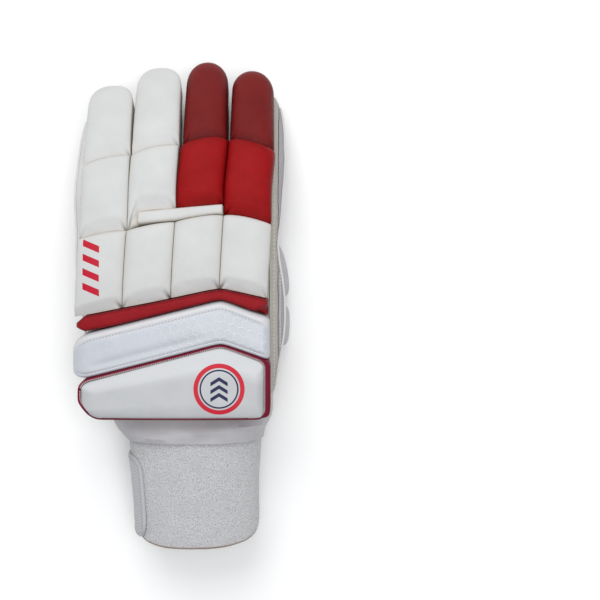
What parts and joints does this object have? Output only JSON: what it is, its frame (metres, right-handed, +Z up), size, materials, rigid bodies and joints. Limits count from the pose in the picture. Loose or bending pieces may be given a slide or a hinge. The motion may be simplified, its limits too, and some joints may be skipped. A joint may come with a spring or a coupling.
{
  "type": "cricket batting glove",
  "caption": "Left-hand padded cricket batting glove lying palm down, with foam finger rolls in two reds and white, a padded cuff, hollow fingers and thumb, and a towelling wristband",
  "frame": {"origin": "under the middle of the glove's bounding box, on the surface that it lies on", "axes": "+Y from the wrist to the fingertips, +X to the thumb side, +Z up out of the back of the hand"},
  "size_m": [0.1366, 0.314, 0.0762],
  "materials": {
    "white_leather": "satin",
    "palm_leather": "soft matte",
    "red_leather": "satin",
    "maroon_leather": "satin",
    "patterned_leather": "semi-gloss with a hexagon net",
    "welt": "satin",
    "mesh": "knitted mesh",
    "towelling": "looped pile",
    "tab": "fine twill"
  },
  "bodies": {
    "root": {"palm": "palm_leather", "mesh_gusset": "mesh", "hand_back": "palm_leather", "index_side_strip": "palm_leather", "little_side_strip": "white_leather", "wrist_sleeve": "white_leather", "thumb_stall": "palm_leather", "thumb_roll_base": "white_leather", "thumb_roll_tip": "white_leather", "red_roll": "red_leather", "split_bar": "white_leather", "roll_knuckle_little": "white_leather", "roll_middle_little": "white_leather", "roll_tip_little": "white_leather", "roll_knuckle_ring": "white_leather", "roll_middle_ring": "white_leather", "roll_tip_ring": "white_leather", "roll_knuckle_middle": "white_leather", "roll_middle_middle": "red_leather", "roll_tip_middle": "maroon_leather", "roll_knuckle_index": "white_leather", "roll_middle_index": "red_leather", "roll_tip_index": "maroon_leather", "pattern_band": "patterned_leather", "cuff_panel": "white_leather", "cuff_welt": "welt", "wristband": "towelling", "closure_tab": "tab"}
  },
  "joints": []
}
